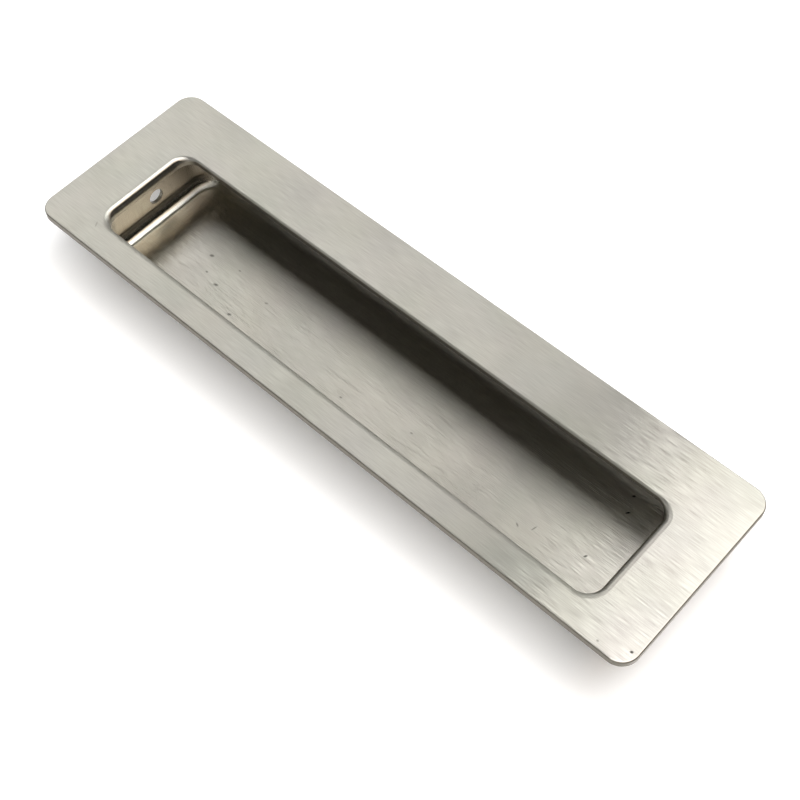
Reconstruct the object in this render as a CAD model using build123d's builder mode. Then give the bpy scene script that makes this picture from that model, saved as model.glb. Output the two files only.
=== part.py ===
"""Recessed door pull: a brushed stainless plate with a drawn pan welded behind its opening.

X runs along the plate, Y across it towards the wide flange, and Z up, out of the door.
The origin is under the middle of the pan, so the pull lies on its pan, face up.
"""
from build123d import *
import os

# Front plate, mm
plate_length = 140.0
plate_width = 40.0
plate_thickness = 1.5
plate_corner = 3.5
plate_edge_round = 0.3

# Opening in the plate, measured from the plate's edges to the straight sides of the opening
end_margin = 11.65
narrow_margin = 6.2
wide_margin = 12.0
opening_corner = 3.2

# Lip rolled down at both ends and along the narrow flange
lip_round = 1.5
lip_straight = 0.8
lip_wall = 1.0
lip_edge_round = 0.2

# Plain edge of the wide flange, which the fingers pull on; the lip's roll dies out beneath it
grip_edge_round = 0.4
grip_edge_break = 0.2
roll_under = 0.6

# Pan behind the plate
pan_gap = 0.6
pan_ledge = 5.7
pan_wall = 0.8
pan_corner = 5.0
pan_floor_round = 2.8
recess_depth = 12.0

# Seat pressed into the plate's back, where the pan's rim is welded
seat_depth = 0.2
seat_clearance = 0.15

# Screw hole in each short wall of the pan, measured down from the plate's face
screw_hole = 3.2
screw_hole_drop = 6.8

# Heights above the surface that the pan lies on
face_z = recess_depth + pan_wall
back_z = face_z - plate_thickness
seat_z = back_z + seat_depth
lip_z = face_z - lip_round - lip_straight

# The roll runs round an outline whose far side lies a little beneath the wide flange's edge
opening_length = plate_length - 2 * end_margin
grip_y = plate_width / 2 - wide_margin
roll_width = plate_width - narrow_margin - wide_margin + roll_under
roll_y = (narrow_margin - wide_margin + roll_under) / 2
lip_length = opening_length + 2 * lip_wall
lip_width = roll_width + 2 * lip_wall
roll_reach = roll_under + lip_round + lip_wall

# The pan clears the lip at both ends and along the narrow flange. Its far side runs on under the
# wide flange and leaves a ledge for the fingers.
lip_clearance = lip_wall + pan_gap
pan_near_y = narrow_margin - plate_width / 2 - lip_clearance
pan_far_y = grip_y + pan_ledge
pan_length = opening_length + 2 * (lip_clearance + pan_wall)
pan_width = pan_far_y - pan_near_y + 2 * pan_wall
pan_y = (pan_near_y + pan_far_y) / 2
pan_outer_corner = pan_corner + pan_wall
seat_length = pan_length + 2 * seat_clearance
seat_width = pan_width + 2 * seat_clearance

with BuildPart() as front_plate:
    with BuildSketch(Plane.XY.offset(back_z)):
        RectangleRounded(plate_length, plate_width, plate_corner)
    extrude(amount=plate_thickness)

    # The seat is a shallow pocket in the back, which holds the pan in its place
    with BuildSketch(Plane.XY.offset(back_z)):
        with Locations((0, pan_y)):
            RectangleRounded(seat_length, seat_width, pan_outer_corner + seat_clearance)
    extrude(amount=seat_depth, mode=Mode.SUBTRACT)

    # The lip hangs below the back as a ring, and the opening passes through it
    with BuildSketch(Plane.XY.offset(lip_z)):
        with Locations((0, roll_y)):
            RectangleRounded(lip_length, lip_width, opening_corner + lip_wall)
    extrude(amount=seat_z - lip_z)
    with BuildSketch(Plane.XY.offset(lip_z)):
        with Locations((0, roll_y)):
            RectangleRounded(opening_length, roll_width, opening_corner)
    extrude(amount=face_z - lip_z, mode=Mode.SUBTRACT)

    # The face rolls over into the lip, and the lip's cut edge and the plate's outer edge are broken
    face = front_plate.faces().sort_by(Axis.Z)[-1]
    fillet(face.inner_wires()[0].edges(), radius=lip_round)
    lip_edge = front_plate.faces().sort_by(Axis.Z)[0]
    fillet(lip_edge.inner_wires()[0].edges(), radius=lip_edge_round)
    face = front_plate.faces().sort_by(Axis.Z)[-1]
    fillet(face.outer_wire().edges(), radius=plate_edge_round)

    # Along the wide flange no lip hangs down, and the flange runs flat to its plain edge
    with BuildSketch(Plane.XY.offset(lip_z)):
        with Locations((0, grip_y)):
            Rectangle(lip_length, roll_reach, align=(Align.CENTER, Align.MIN))
    extrude(amount=seat_z - lip_z, mode=Mode.SUBTRACT)
    with BuildSketch(Plane.YZ) as grip_edge:
        with Locations((grip_y, seat_z)):
            Rectangle(roll_reach, face_z - seat_z, align=(Align.MIN, Align.MIN))
        top_corner = grip_edge.vertices().group_by(Axis.Y)[-1].sort_by(Axis.X)[0]
        fillet(top_corner, radius=grip_edge_round)
        low_corner = grip_edge.vertices().group_by(Axis.Y)[0].sort_by(Axis.X)[0]
        fillet(low_corner, radius=grip_edge_break)
    extrude(amount=opening_length / 2 + lip_round, both=True)

with BuildPart() as recess_pan:
    with BuildSketch(Plane.XY):
        with Locations((0, pan_y)):
            RectangleRounded(pan_length, pan_width, pan_outer_corner)
    extrude(amount=seat_z)
    floor_edges = recess_pan.edges().group_by(Axis.Z)[0]
    fillet(floor_edges, radius=pan_floor_round + pan_wall)
    offset(amount=-pan_wall, openings=recess_pan.faces().sort_by(Axis.Z)[-1])

    # One drill passes through both short walls
    with BuildSketch(Plane.YZ):
        with Locations((0, face_z - screw_hole_drop)):
            Circle(screw_hole / 2)
    extrude(amount=pan_length / 2, both=True, mode=Mode.SUBTRACT)

front_plate.part.label = "front_plate"
recess_pan.part.label = "recess_pan"

os.makedirs("parts", exist_ok=True)
export_step(front_plate.part, "parts/front_plate.step")
export_step(recess_pan.part, "parts/recess_pan.step")
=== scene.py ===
import math

import bmesh
import bpy
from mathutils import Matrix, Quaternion, Vector


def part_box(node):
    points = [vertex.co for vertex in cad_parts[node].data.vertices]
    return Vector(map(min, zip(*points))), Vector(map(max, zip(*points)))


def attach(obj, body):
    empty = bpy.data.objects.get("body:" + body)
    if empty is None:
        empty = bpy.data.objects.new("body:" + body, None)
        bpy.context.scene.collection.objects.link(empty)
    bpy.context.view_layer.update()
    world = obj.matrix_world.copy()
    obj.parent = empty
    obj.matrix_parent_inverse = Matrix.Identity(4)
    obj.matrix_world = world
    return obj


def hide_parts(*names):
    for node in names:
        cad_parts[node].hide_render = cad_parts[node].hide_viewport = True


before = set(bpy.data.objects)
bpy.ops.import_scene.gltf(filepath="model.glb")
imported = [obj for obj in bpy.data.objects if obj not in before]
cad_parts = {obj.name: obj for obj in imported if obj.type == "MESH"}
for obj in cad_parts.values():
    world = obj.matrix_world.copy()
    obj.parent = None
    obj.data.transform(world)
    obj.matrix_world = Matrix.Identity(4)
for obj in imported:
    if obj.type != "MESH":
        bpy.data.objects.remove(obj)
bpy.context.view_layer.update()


# Front plate.
# A stainless steel plate, brushed along its length and then pressed. Its opening stands off centre. A lip
# is rolled down at both ends and along the narrow flange. The wide flange keeps a plain edge to pull on.
MM = 0.001

plate_low, plate_high = (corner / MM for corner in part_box("front_plate"))
plate_half = Vector((plate_high.x, plate_high.y))
plate_thickness = 1.5
plate_corner = 3.5
plate_edge_round = 0.3
# Degrees up the rounded edge where the torn cut ends and where the brushed face begins
sheared_to, brushed_from = 50, 65
face_z = plate_high.z
back_z = face_z - plate_thickness

end_margin = 11.65
narrow_margin = 6.2
wide_margin = 12.0
opening_half = Vector((plate_half.x - end_margin, plate_half.y - (narrow_margin + wide_margin) / 2))
opening_y = (narrow_margin - wide_margin) / 2
opening_corner = 3.2

lip_round = 1.5
lip_wall = 1.0
lip_edge_round = 0.2
lip_z = plate_low.z
grip_edge_round = 0.4

# The pan's rim stands in a shallow seat in the plate's back
pan_low, pan_high = (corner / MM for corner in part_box("recess_pan"))
pan_half = (pan_high - pan_low).xy / 2
pan_y = (pan_low.y + pan_high.y) / 2
pan_wall = 0.8
pan_corner = 5.0
seat_clearance = 0.15
seat_z = pan_high.z

# Cut edges are broken by the tumbling that takes off their burr
burr_round = 0.08

corner_steps = 16
round_steps = 14
burr_steps = 3


class Outline:
    """A rounded rectangle in the plane of the plate, with extra points at end_stops on both its ends."""

    def __init__(self, half, corner, y=0.0, end_stops=()):
        reach = half - Vector((corner, corner))
        # Points and outward directions round the outline, anticlockwise from the +X end
        self.walk = []
        for turn, (side_x, side_y) in enumerate(((1, 1), (-1, 1), (-1, -1), (1, -1))):
            if side_x == side_y:
                for stop in end_stops:
                    self.walk.append((Vector((side_x * half.x, side_x * stop)), Vector((side_x, 0.0))))
            middle = Vector((side_x * reach.x, y + side_y * reach.y))
            for step in range(corner_steps + 1):
                angle = math.radians(90.0) * (turn + step / corner_steps)
                outward = Vector((math.cos(angle), math.sin(angle)))
                self.walk.append((middle + corner * outward, outward))


def round_edge(grow, z, radius, start, end, steps, facing=1, cut=0.0):
    """Rings of a rounded edge about the point (grow, z), between two directions in degrees.

    A direction of 0 points out of the outline and 90 points up. A facing of -1 makes a hollow edge.
    A cut of 1 marks an edge that the press has sheared.
    """
    rings = []
    for step in range(steps + 1):
        angle = math.radians(start + (end - start) * step / steps)
        out, up = math.cos(angle), math.sin(angle)
        rings.append((grow + radius * out, z + radius * up, facing * out, facing * up, cut))
    return rings


class SheetMesh:
    """Mesh points with the true direction of the surface and their place on the flat blank."""

    def __init__(self):
        self.places = []
        self.normals = []
        self.blank_places = []
        self.cuts = []
        self.faces = []

    def point(self, place, normal, blank_place, cut):
        """A point from sizes in mm, with a cut of 1 on a sheared edge. Gives its number."""
        self.places.append(Vector(place) * MM)
        self.normals.append(Vector(normal).normalized())
        self.blank_places.append(Vector(blank_place) * MM)
        self.cuts.append(cut)
        return len(self.places) - 1

    def sweep(self, outline, section_at, flat_z, blank_turn):
        """Rings of points round an outline, with the section that stands at each point of its walk.

        The blank is flat at flat_z. What the sheet rises or falls from there lies further out on the blank
        for a blank_turn of 1, and further in for -1.
        """
        sections = [section_at(outward) for _, outward in outline.walk]
        rings = []
        for spots in zip(*sections):
            places = []
            for (base, outward), (grow, z, _, _, _) in zip(outline.walk, spots):
                places.append(Vector((*(base + grow * outward), z)))
            ring = []
            for i, ((base, outward), (grow, z, out, up, cut)) in enumerate(zip(outline.walk, spots)):
                # Where the section changes along the walk, the surface still stands square to the ring
                chord = places[(i + 1) % len(places)] - places[i - 1]
                normal = Vector((*(out * outward), up))
                normal -= normal.project(chord)
                blank_place = base + (grow + blank_turn * abs(flat_z - z)) * outward
                ring.append(self.point(places[i], normal, blank_place, cut))
            rings.append(ring)
        return rings

    def band(self, first, second, gaps=()):
        """Faces between two rings, apart from those that start at a point in gaps."""
        for i in range(len(first)):
            if i not in gaps:
                j = (i + 1) % len(first)
                self.faces.append((first[i], first[j], second[j], second[i]))

    def piece(self, name, material):
        """The closed mesh as an object, shaded smooth by the true directions."""
        mesh = bpy.data.meshes.new(name)
        mesh.from_pydata(self.places, [], self.faces)
        outward = bmesh.new()
        outward.from_mesh(mesh)
        bmesh.ops.recalc_face_normals(outward, faces=outward.faces)
        outward.to_mesh(mesh)
        outward.free()
        blank = mesh.uv_layers.new(name="blank")
        for loop in mesh.loops:
            blank.data[loop.index].uv = self.blank_places[loop.vertex_index]
        mesh.attributes.new("cut edge", "FLOAT", "POINT").data.foreach_set("value", self.cuts)
        mesh.shade_smooth()
        mesh.normals_split_custom_set_from_vertices(self.normals)
        mesh.materials.append(material)
        made = bpy.data.objects.new(name, mesh)
        bpy.context.scene.collection.objects.link(made)
        return made


def linear(hex_colour):
    """sRGB hex to linear RGBA."""
    parts = [int(hex_colour[i:i + 2], 16) / 255.0 for i in (1, 3, 5)]
    return [c / 12.92 if c <= 0.04045 else ((c + 0.055) / 1.055) ** 2.4 for c in parts] + [1.0]


def add_node(tree, kind, inputs=None, **settings):
    """A node with its settings, and with its inputs set or linked."""
    node = tree.nodes.new(kind)
    for name, value in settings.items():
        setattr(node, name, value)
    for name, value in (inputs or {}).items():
        if isinstance(value, bpy.types.NodeSocket):
            tree.links.new(value, node.inputs[name])
        else:
            node.inputs[name].default_value = value
    return node


def brushed_stainless(name, dull, bright, roughness, line_depth, lean, marks, wall_roughness=None):
    """Stainless steel brushed along the sheet before it was pressed, with the marks of handling.

    The brushing draws each light out across its lines and leaves it sharp along them, so the sheet
    looks even across its width and changes quickly where it bends along the lines. The lines are cut
    line_depth mm deep, and each leans up or down its own length by at most lean, which breaks the edge
    of a reflection into grain. A mark is a dark spot or nick, given by its place on the blank, its
    length and width in mm, its turn in degrees and how dark it is. A wall that the die has rubbed
    smoother as it drew the sheet shows sharper reflections, by its wall_roughness.
    """
    material = bpy.data.materials.new(name)
    material.use_nodes = True
    tree = material.node_tree
    tree.nodes.clear()
    blank = add_node(tree, "ShaderNodeUVMap", uv_map="blank").outputs["UV"]
    along_lines = add_node(tree, "ShaderNodeTangent", direction_type="UV_MAP", uv_map="blank")

    # The real grit leaves lines about 0.05 mm apart. They are drawn 0.16 mm apart, to show here.
    line_length, line_spacing = 3.5 * MM, 0.16 * MM
    lines_place = add_node(tree, "ShaderNodeMapping", {
        "Vector": blank, "Scale": (1 / line_length, 1 / line_spacing, 1.0)})
    lines = add_node(tree, "ShaderNodeTexNoise", {
        "Vector": lines_place.outputs["Vector"], "Scale": 1.0, "Detail": 0.0})

    # Lines and broad clouds of handling together move the steel between its dull and bright colours.
    # Each noise keeps near the middle of its range, so their sum runs from about 0.7 to 1.3.
    cloud_size = 14.0 * MM
    clouds = add_node(tree, "ShaderNodeTexNoise", {
        "Vector": blank, "Scale": 1 / cloud_size, "Detail": 2.0})
    tone = add_node(tree, "ShaderNodeMath", {
        0: lines.outputs["Fac"], 1: clouds.outputs["Fac"]}, operation="ADD")
    tone_range = add_node(tree, "ShaderNodeMapRange", {
        "Value": tone.outputs["Value"], "From Min": 0.7, "From Max": 1.3})
    steel = add_node(tree, "ShaderNodeValToRGB", {"Fac": tone_range.outputs["Result"]})
    steel.color_ramp.elements[0].color = linear(dull)
    steel.color_ramp.elements[1].color = linear(bright)

    # The clouds also lean a little to pink and to green, as oil and wiping leave them
    tint_share = 0.03
    tint = add_node(tree, "ShaderNodeMix", {
        0: tint_share, 6: steel.outputs["Color"], 7: clouds.outputs["Color"]}, data_type="RGBA")

    # Each mark is darkest at its core and fades to its edge
    mark_core = 0.4
    soiled_colour = tint.outputs[2]
    for (x, y), length, width, turn, darkness in marks:
        mark_place = add_node(tree, "ShaderNodeMapping", {
            "Vector": blank,
            "Location": (x * MM, y * MM, 0.0),
            "Rotation": (0.0, 0.0, math.radians(turn)),
            "Scale": (length / 2 * MM, width / 2 * MM, 1.0)}, vector_type="TEXTURE")
        away = add_node(tree, "ShaderNodeVectorMath", {
            0: mark_place.outputs["Vector"]}, operation="LENGTH")
        mark = add_node(tree, "ShaderNodeMapRange", {
            "Value": away.outputs["Value"], "From Min": 1.0, "From Max": mark_core, "To Max": darkness})
        soiled = add_node(tree, "ShaderNodeMix", {
            0: mark.outputs["Result"], 6: soiled_colour, 7: linear("#1C1914")}, data_type="RGBA")
        soiled_colour = soiled.outputs[2]

    # The marks are on the side that faces up, not on the back of the sheet
    surface = add_node(tree, "ShaderNodeNewGeometry")
    slope = add_node(tree, "ShaderNodeSeparateXYZ", {"Vector": surface.outputs["Normal"]})
    upper_side = add_node(tree, "ShaderNodeMath", {
        0: slope.outputs["Z"], 1: 0.0}, operation="GREATER_THAN")
    marked = add_node(tree, "ShaderNodeMix", {
        0: upper_side.outputs["Value"], 6: tint.outputs[2], 7: soiled_colour}, data_type="RGBA")

    # Sheared edges are torn, not brushed, and look darker
    cut_edge = add_node(tree, "ShaderNodeAttribute", attribute_name="cut edge")
    torn = add_node(tree, "ShaderNodeMix", {
        0: cut_edge.outputs["Fac"], 6: marked.outputs[2], 7: linear("#7A766C")}, data_type="RGBA")

    # The lines' own depth, and their lean along the sheet
    line_lean = add_node(tree, "ShaderNodeMapRange", {
        "Value": lines.outputs["Fac"], "To Min": -lean, "To Max": lean})
    leant = add_node(tree, "ShaderNodeVectorMath", {
        0: along_lines.outputs["Tangent"], "Scale": line_lean.outputs["Result"]}, operation="SCALE")
    bump = add_node(tree, "ShaderNodeBump", {
        "Strength": 1.0, "Distance": line_depth * MM, "Height": lines.outputs["Fac"]})
    tilted = add_node(tree, "ShaderNodeVectorMath", {
        0: bump.outputs["Normal"], 1: leant.outputs["Vector"]}, operation="ADD")
    facing = add_node(tree, "ShaderNodeVectorMath", {0: tilted.outputs["Vector"]}, operation="NORMALIZE")

    if wall_roughness is not None:
        level = add_node(tree, "ShaderNodeMath", {0: slope.outputs["Z"]}, operation="ABSOLUTE")
        rubbed = add_node(tree, "ShaderNodeMapRange", {
            "Value": level.outputs["Value"], "To Min": wall_roughness, "To Max": roughness})
        roughness = rubbed.outputs["Result"]

    # A quarter turn draws the light out across the lines
    shader = add_node(tree, "ShaderNodeBsdfPrincipled", {
        "Base Color": torn.outputs[2],
        "Metallic": 1.0,
        "Roughness": roughness,
        "Anisotropic": 1.0,
        "Anisotropic Rotation": 0.25,
        "Normal": facing.outputs["Vector"],
        "Tangent": along_lines.outputs["Tangent"]})
    add_node(tree, "ShaderNodeOutputMaterial", {"Surface": shader.outputs["BSDF"]})
    return material


plate_edge = Outline(plate_half, plate_corner)
opening = Outline(opening_half, opening_corner, opening_y)
seat = Outline(pan_half, pan_corner + pan_wall, pan_y)


def lip_section(outward):
    """The lip, from the face down its inside and back up its outside, where the walk faces outward.

    Round the two far corners the roll tightens and the lip rises, until only the plain edge is left.
    """
    # Eased from 0 on the lip to 1 on the plain edge
    corner_share = 2 * math.asin(max(outward.y, 0.0)) / math.pi
    plain = corner_share * corner_share * (3 - 2 * corner_share)
    roll = lip_round + (grip_edge_round - lip_round) * plain
    low_z = lip_z + (back_z - lip_z) * plain
    roll_rings = round_edge(roll, face_z - roll, roll, 90, 180, round_steps)
    edge_rings = round_edge(
        lip_edge_round, low_z + lip_edge_round, lip_edge_round, 180, 270, burr_steps, cut=1.0)
    # The wall between roll and edge is brushed on the lip and sheared on the plain edge
    for rings, ring in ((roll_rings, -1), (edge_rings, 0)):
        rings[ring] = (*rings[ring][:-1], plain)
    return (roll_rings + edge_rings
            + round_edge(lip_wall - burr_round, low_z + burr_round, burr_round, 270, 360, burr_steps))


# The section goes on from the lip along the back, where the seat is sunk, and up the outer edge.
# On the flat blank, the lip and the outer edge run on past the lines where the sheet turns down.
seat_root_section = round_edge(
    lip_wall + burr_round, seat_z - burr_round, burr_round, 180, 90, burr_steps, -1)
seat_side_section = (
    round_edge(seat_clearance - burr_round, seat_z - burr_round, burr_round, 90, 0, burr_steps, -1)
    + round_edge(seat_clearance + burr_round, back_z + burr_round, burr_round, 180, 270, burr_steps))
outer_section = (
    round_edge(-burr_round, back_z + burr_round, burr_round, 270, 360, burr_steps, cut=1.0)
    + round_edge(
        -plate_edge_round, face_z - plate_edge_round, plate_edge_round, 0, sheared_to, burr_steps, cut=1.0)
    + round_edge(
        -plate_edge_round, face_z - plate_edge_round, plate_edge_round, brushed_from, 90, burr_steps))

plate_sheet = SheetMesh()
plate_rings = (
    plate_sheet.sweep(opening, lip_section, face_z, -1)
    + plate_sheet.sweep(opening, lambda outward: seat_root_section, face_z, 0)
    + plate_sheet.sweep(seat, lambda outward: seat_side_section, face_z, 0)
    + plate_sheet.sweep(plate_edge, lambda outward: outer_section, face_z, 1))
for first, second in zip(plate_rings, plate_rings[1:] + plate_rings[:1]):
    plate_sheet.band(first, second)

# Nicks towards the near edge: place, length, width, turn, darkness
plate_marks = [
    ((68.7, -16.8), 0.8, 0.6, 20, 0.9),
    ((63.6, -18.8), 0.6, 0.5, 0, 0.4),
    ((-58.3, -15.3), 1.8, 0.4, -60, 0.25)]
plate_steel = brushed_stainless(
    "brushed stainless plate", dull="#ABA79E", bright="#B9B7AD",
    roughness=0.31, line_depth=0.01, lean=0.03, marks=plate_marks)
front_plate = plate_sheet.piece("front_plate_sheet", plate_steel)
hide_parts("front_plate")
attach(front_plate, "root")


# Recess pan.
# A pan drawn from thinner brushed stainless sheet, wider than the opening, so that fingers hook under
# the wide flange. Its rim is welded to the plate's back, and each short wall has a screw hole.
floor_round = 2.4
floor_z = pan_low.z + pan_wall
bend_steps = 12

# Each hole is let into a square patch of the wall
hole_radius = 1.6
hole_drop = 6.8
hole_z = face_z - hole_drop
patch_half = 2.4
patch_cells = 8
patch_stops = [patch_half * (2 * stop / patch_cells - 1) for stop in range(patch_cells + 1)]

pan_inside = Outline(pan_half - Vector((pan_wall, pan_wall)), pan_corner, pan_y, patch_stops)
inside_section = (
    round_edge(-floor_round, floor_z + floor_round, floor_round, -90, 0, bend_steps, -1)
    + [(0.0, hole_z + stop, -1.0, 0.0, 0.0) for stop in patch_stops])
rim_section = (
    round_edge(burr_round, seat_z - burr_round, burr_round, 180, 90, burr_steps)
    + round_edge(pan_wall - burr_round, seat_z - burr_round, burr_round, 90, 0, burr_steps))
outside_section = (
    [(pan_wall, hole_z - stop, 1.0, 0.0, 0.0) for stop in patch_stops]
    + round_edge(-floor_round, floor_z + floor_round, floor_round + pan_wall, 0, -90, bend_steps))

pan_sheet = SheetMesh()
pan_rings = pan_sheet.sweep(
    pan_inside, lambda outward: inside_section + rim_section + outside_section, floor_z, 1)

# The rows of faces that the holes pass through, inside and outside, and the columns at both ends
inside_start = bend_steps + 1
outside_start = len(inside_section) + len(rim_section)
plus_start, minus_start = 0, len(patch_stops) + 2 * (corner_steps + 1)
holed_rows = [start + cell for start in (inside_start, outside_start) for cell in range(patch_cells)]
holed_columns = [start + cell for start in (plus_start, minus_start) for cell in range(patch_cells)]
for row, (first, second) in enumerate(zip(pan_rings, pan_rings[1:])):
    pan_sheet.band(first, second, holed_columns if row in holed_rows else ())
pan_sheet.faces.append(pan_rings[0])
pan_sheet.faces.append(pan_rings[-1])


def hole_skin(row_start, column_start, side, facing):
    """The faces from the edge of a patch to its hole, and the ring of points just inside the hole.

    The rows run up the inside of the pan and down its outside.
    """
    patch = [ring[column_start:column_start + patch_cells + 1]
             for ring in pan_rings[row_start:row_start + patch_cells + 1]]
    if facing > 0:
        patch.reverse()
    border = (patch[0] + [row[-1] for row in patch[1:]] + patch[-1][-2::-1]
              + [row[0] for row in patch[-2:0:-1]])
    brink, bore = [], []
    for corner in border:
        place = pan_sheet.places[corner] / MM
        outward = Vector((0.0, place.y, place.z - hole_z)).normalized()
        middle = Vector((place.x, 0.0, hole_z))
        skin = Vector((side * facing, 0.0, 0.0))
        for ring, spot, normal, cut in (
                (brink, middle + (hole_radius + burr_round) * outward, skin, 0.0),
                (bore, middle + hole_radius * outward - burr_round * skin, -outward, 1.0)):
            blank_place = (spot.x + side * (spot.z - floor_z), spot.y)
            ring.append(pan_sheet.point(spot, normal, blank_place, cut))
    pan_sheet.band(border, brink)
    pan_sheet.band(brink, bore)
    return bore


for side, column_start in ((1, plus_start), (-1, minus_start)):
    inside_bore = hole_skin(inside_start, column_start, side, -1)
    outside_bore = hole_skin(outside_start, column_start, side, 1)
    pan_sheet.band(inside_bore, outside_bore)

# Specks and nicks on the floor: place, length, width, turn, darkness
pan_marks = [
    ((49.4, 11.4), 0.9, 0.5, 40, 1.0),
    ((50.6, 8.1), 1.1, 0.4, 55, 1.0),
    ((50.3, -3.3), 1.0, 0.5, 60, 0.8),
    ((40.4, -5.0), 1.6, 0.35, 75, 0.5),
    ((37.8, -6.4), 1.2, 0.45, -30, 0.5),
    ((11.8, -4.8), 0.8, 0.5, 0, 0.4),
    ((-3.0, -7.7), 0.8, 0.5, 0, 0.5),
    ((-28.3, -1.7), 1.0, 0.6, 20, 0.4),
    ((-31.8, -8.2), 1.2, 0.7, 20, 0.6),
    ((-37.7, 0.4), 0.8, 0.5, 0, 0.4),
    ((-38.8, -5.0), 1.3, 0.7, 20, 0.6),
    ((-42.4, -4.0), 0.8, 0.6, 0, 0.5),
    ((-44.5, -0.6), 1.3, 0.8, 20, 0.6)]
pan_steel = brushed_stainless(
    "brushed stainless pan", dull="#B2AEA4", bright="#BDBAB0",
    roughness=0.31, line_depth=0.05, lean=0.03, marks=pan_marks, wall_roughness=0.20)
recess_pan = pan_sheet.piece("recess_pan_sheet", pan_steel)
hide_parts("recess_pan")
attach(recess_pan, "root")


# Table, light and camera.
# The pull lies on white paper on a table, under soft panels of light: a row of four overhead, with one dark
# gap, and two low ones. The room is dark, and pale far to the left.

# The table and the panels are measured in metres
table_half = 0.8
table_z = pan_low.z * MM
table_corners = [(x * table_half, y * table_half, table_z) for x, y in ((-1, -1), (1, -1), (1, 1), (-1, 1))]
table_mesh = bpy.data.meshes.new("table")
table_mesh.from_pydata(table_corners, [], [(0, 1, 2, 3)])
table = bpy.data.objects.new("table", table_mesh)
bpy.context.scene.collection.objects.link(table)

# Matt white paper, which shows the pull's soft shadow and nothing else
table_paper = bpy.data.materials.new("white table paper")
table_paper.use_nodes = True
tree = table_paper.node_tree
tree.nodes.clear()
paper = add_node(tree, "ShaderNodeBsdfDiffuse", {"Color": linear("#FAFAFA")})

# The photo's background is burnt out to white, which lifts the shadow on the table a little too
burn_out = 0.12
ray = add_node(tree, "ShaderNodeLightPath")
seen = add_node(tree, "ShaderNodeMath", {
    0: ray.outputs["Is Camera Ray"], 1: ray.outputs["Is Glossy Ray"]}, operation="MAXIMUM")
seen = add_node(tree, "ShaderNodeMath", {
    0: seen.outputs["Value"], 1: ray.outputs["Is Transmission Ray"]}, operation="MAXIMUM")
lift_level = add_node(tree, "ShaderNodeMath", {0: seen.outputs["Value"], 1: burn_out}, operation="MULTIPLY")
lift = add_node(tree, "ShaderNodeEmission", {
    "Color": linear("#FFFFFF"), "Strength": lift_level.outputs["Value"]})
lifted = add_node(tree, "ShaderNodeAddShader", {0: paper.outputs["BSDF"], 1: lift.outputs["Emission"]})
add_node(tree, "ShaderNodeOutputMaterial", {"Surface": lifted.outputs["Shader"]})
table_mesh.materials.append(table_paper)


def softbox(name, low, high, tilt, radiance, colour="#FFFFFF"):
    """A flat panel of light between two corners, which faces down before it is tilted about X."""
    light = bpy.data.lights.new(name, "AREA")
    light.shape = "RECTANGLE"
    light.size = high.x - low.x
    light.size_y = (high - low).yz.length
    light.energy = radiance * math.pi * light.size * light.size_y
    light.color = linear(colour)[:3]
    panel = bpy.data.objects.new(name, light)
    panel.location = (low + high) / 2
    panel.rotation_euler.x = math.radians(tilt)
    bpy.context.scene.collection.objects.link(panel)


# The dark gap before the window panel shows as a dim band across the plate. The side panel is warm, and
# shows in the recess's left wall.
hang_z = 1.20
overhead_left, overhead_right = -0.085, 0.66
softbox("overhead panel", Vector((overhead_left, -0.75, hang_z)), Vector((overhead_right, 1.05, hang_z)),
        tilt=0, radiance=4.3)
softbox("side panel", Vector((overhead_right, -0.75, hang_z)), Vector((1.15, 1.05, hang_z)),
        tilt=0, radiance=3.0, colour="#FFEEDE")
softbox("bright panel", Vector((-0.262, 0.16, hang_z)), Vector((overhead_left, 1.20, hang_z)),
        tilt=0, radiance=3.95)
softbox("window panel", Vector((-1.80, 0.12, hang_z)), Vector((-0.325, 1.10, hang_z)),
        tilt=0, radiance=2.4)

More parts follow.
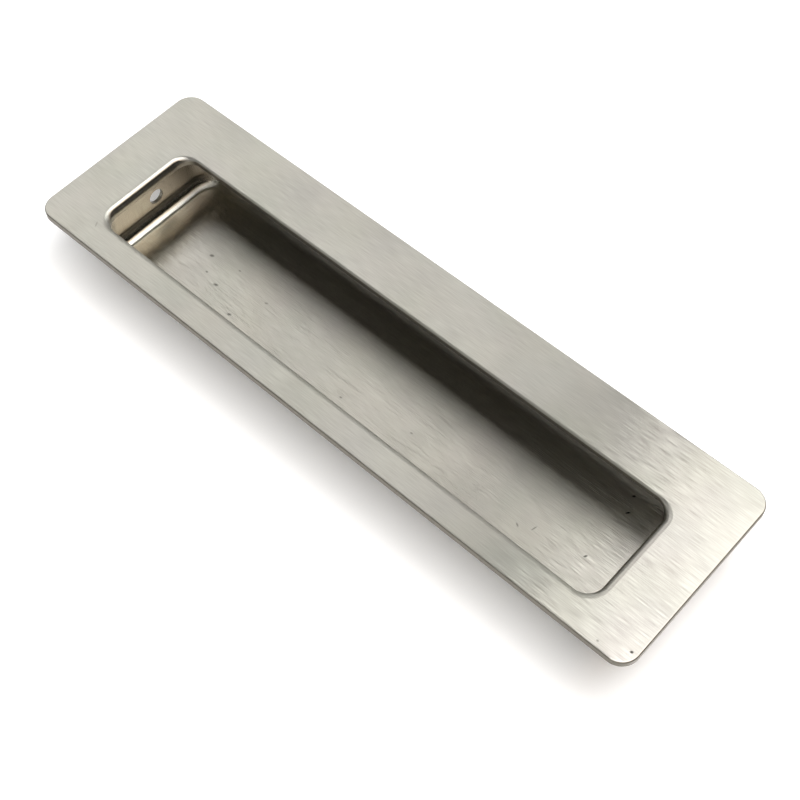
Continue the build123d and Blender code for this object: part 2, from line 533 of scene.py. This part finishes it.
# The low panels stand past the table's near and far sides, and light the upright edges
low_panel_y = 1.20
softbox("low near panel", Vector((-1.60, -low_panel_y, 0.02)), Vector((-0.10, -low_panel_y, 0.56)),
        tilt=90, radiance=1.2)
softbox("low far panel", Vector((-1.60, low_panel_y, 0.02)), Vector((-0.10, low_panel_y, 0.32)),
        tilt=-90, radiance=1.5)

room = bpy.data.worlds.new("room")
room.use_nodes = True
tree = room.node_tree
tree.nodes.clear()
toward = add_node(tree, "ShaderNodeTexCoord")
toward_parts = add_node(tree, "ShaderNodeSeparateXYZ", {"Vector": toward.outputs["Generated"]})
across_room = add_node(tree, "ShaderNodeMapRange", {
    "Value": toward_parts.outputs["X"], "From Min": -1.0, "From Max": 1.0})
walls = add_node(tree, "ShaderNodeValToRGB", {"Fac": across_room.outputs["Result"]})
walls.color_ramp.elements[0].color = linear("#AAAAAA")
walls.color_ramp.elements[1].color = linear("#1A1A1A")
for across, grey in ((0.10, "#959595"), (0.25, "#272727")):
    walls.color_ramp.elements.new(across).color = linear(grey)

# The room is white at the height of the table and below, too low to light the pull
white_up_to, dark_from = 0.05, 0.08
below = add_node(tree, "ShaderNodeMapRange", {
    "Value": toward_parts.outputs["Z"], "From Min": dark_from, "From Max": white_up_to})
shade = add_node(tree, "ShaderNodeMath", {
    0: walls.outputs["Color"], 1: below.outputs["Result"]}, operation="MAXIMUM")
backdrop = add_node(tree, "ShaderNodeBackground", {"Color": shade.outputs["Value"], "Strength": 1.0})
add_node(tree, "ShaderNodeOutputWorld", {"Surface": backdrop.outputs["Background"]})
bpy.context.scene.world = room

# The camera stands past the pull's near right corner and above it, turned a little about its view
camera_place = Vector((103.33, -101.41, face_z + 209.13)) * MM
look_at = Vector((10.81, -6.40, face_z)) * MM
camera_roll = math.radians(2.313)
camera_data = bpy.data.cameras.new("camera")
camera_data.sensor_width = 36.0
camera_data.lens = 64.62
camera_data.clip_start = 0.01
camera = bpy.data.objects.new("camera", camera_data)
camera.location = camera_place
look = look_at - camera_place
camera.rotation_mode = "QUATERNION"
camera.rotation_quaternion = look.to_track_quat("-Z", "Y") @ Quaternion((0, 0, 1), -camera_roll)
bpy.context.scene.collection.objects.link(camera)
bpy.context.scene.camera = camera
bpy.context.scene.view_settings.view_transform = "Standard"
